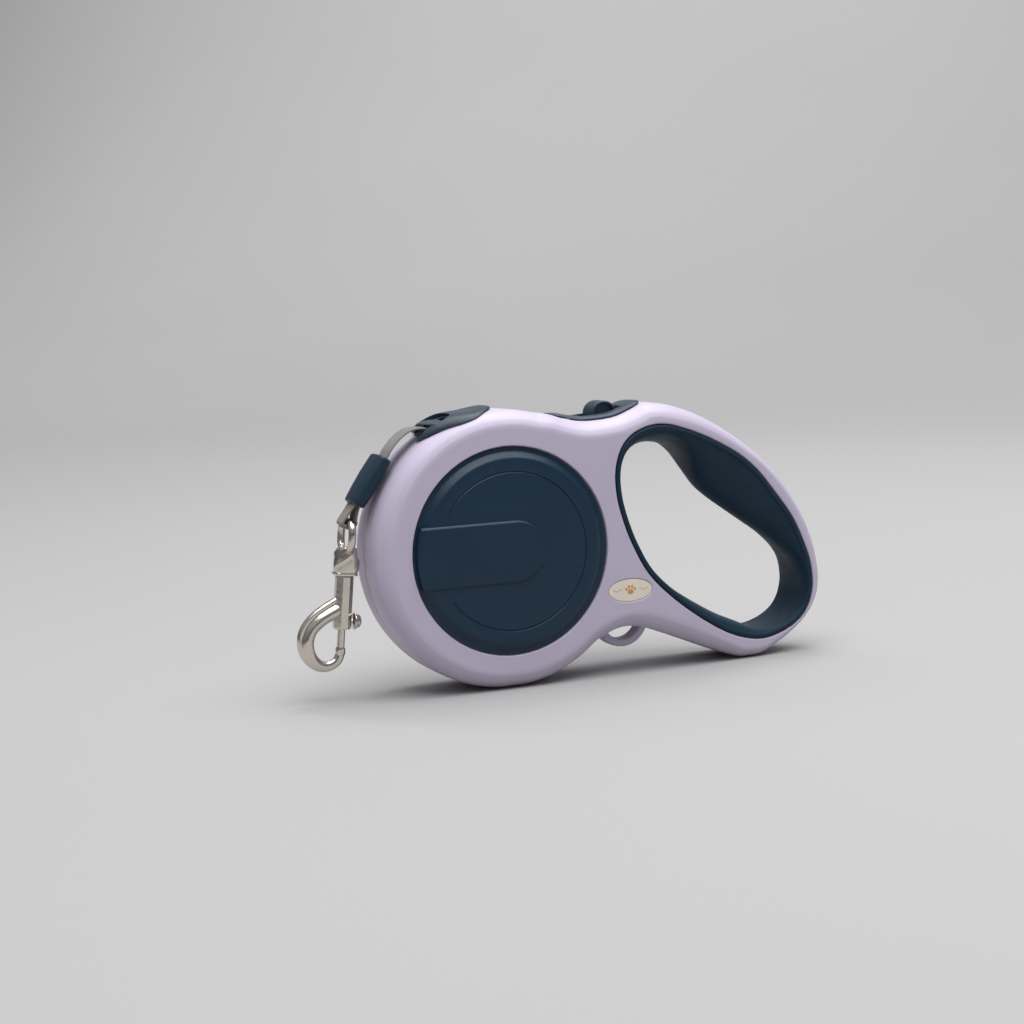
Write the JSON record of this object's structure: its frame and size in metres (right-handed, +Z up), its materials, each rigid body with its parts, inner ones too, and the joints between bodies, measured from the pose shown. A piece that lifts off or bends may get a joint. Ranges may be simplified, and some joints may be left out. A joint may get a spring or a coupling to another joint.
{
  "type": "retractable dog leash",
  "caption": "Tape-type retractable dog leash with a round reel drum, loop handle with soft grip, thumb brake and swivel bolt snap.",
  "frame": {"origin": "middle of the casing's footprint, on the surface that it stands on", "axes": "+X towards the handle, -Y the front with the badge, +Z up"},
  "size_m": [0.2112, 0.036, 0.1038],
  "materials": {
    "lavender_shell": "satin moulded, fine texture",
    "navy_plastic": "satin moulded",
    "soft_grip": "soft matt",
    "soft_sleeve": "soft matt",
    "badge_cream": "printed, clear domed",
    "tape_weave": "woven nylon",
    "nickel": "polished nickel plating",
    "steel": "plain",
    "black_plastic": "moulded",
    "white_plastic": "moulded"
  },
  "bodies": {
    "casing": {"casing_front": "lavender_shell", "casing_rear": "lavender_shell", "side_cover_front": "navy_plastic", "side_cover_rear": "navy_plastic", "handle_grip": "soft_grip", "badge": "badge_cream", "nozzle": "navy_plastic", "button_bezel": "navy_plastic", "reel_axle": "white_plastic", "axle_screw": "steel", "brake_spring": "steel", "tape_inner": "tape_weave", "casing_screw_1": "steel", "casing_screw_2": "steel", "casing_screw_3": "steel", "casing_screw_4": "steel", "casing_screw_5": "steel", "casing_screw_6": "steel"},
    "reel": {"reel": "black_plastic", "reel_rear_flange": "black_plastic", "spring_cup_lid": "white_plastic", "mainspring": "steel", "tape_roll": "tape_weave", "bush_front": "white_plastic", "bush_rear": "white_plastic"},
    "brake": {"brake_button": "navy_plastic"},
    "lock": {"lock_knob": "navy_plastic"},
    "leash_end": {"tape_lead": "tape_weave", "tape_loop": "tape_weave", "tape_sleeve": "soft_sleeve"},
    "snap_eye": {"swivel_eye": "nickel", "swivel_pin": "steel"},
    "snap_hook": {"hook_body": "nickel", "bolt_spring": "steel"},
    "snap_bolt": {"bolt": "nickel", "bolt_knob": "nickel"}
  },
  "joints": [
    {"name": "leash_payout", "type": "slide", "parent": "casing", "child": "leash_end", "axis": [-1, 0, 0], "range_m": [0, 5], "stiffness_N_per_m": 1, "springref_m": -4},
    {"name": "reel_spin", "type": "hinge", "parent": "casing", "child": "reel", "pos_m": [-0.04093, 0, 0.051], "axis": [0, -1, 0], "range_deg": [0, 9360]},
    {"name": "brake_press", "type": "slide", "parent": "casing", "child": "brake", "axis": [0, 0, -1], "range_m": [0, 0.0035], "stiffness_N_per_m": 1200, "springref_m": -0.003, "deforming": ["brake_spring"]},
    {"name": "lock_slide", "type": "slide", "parent": "brake", "child": "lock", "axis": [-1, 0, 0], "range_m": [0, 0.0045]},
    {"name": "hook_swing", "type": "hinge", "parent": "leash_end", "child": "snap_eye", "pos_m": [-0.09773, 0, 0.0652], "axis": [0, 1, 0], "range_deg": [0, 75]},
    {"name": "hook_swivel", "type": "hinge", "parent": "snap_eye", "child": "snap_hook", "pos_m": [-0.09991, 0, 0.04542], "axis": [0.1097, 0, 0.994], "continuous": true},
    {"name": "bolt_slide", "type": "slide", "parent": "snap_hook", "child": "snap_bolt", "axis": [0.1097, 0, 0.994], "range_m": [0, 0.0065], "stiffness_N_per_m": 400, "springref_m": -0.004, "deforming": ["bolt_spring"]}
  ],
  "couplings": [
    {"joint": "reel_spin", "follows": "leash_payout", "rad_per_m": 32.673}
  ]
}
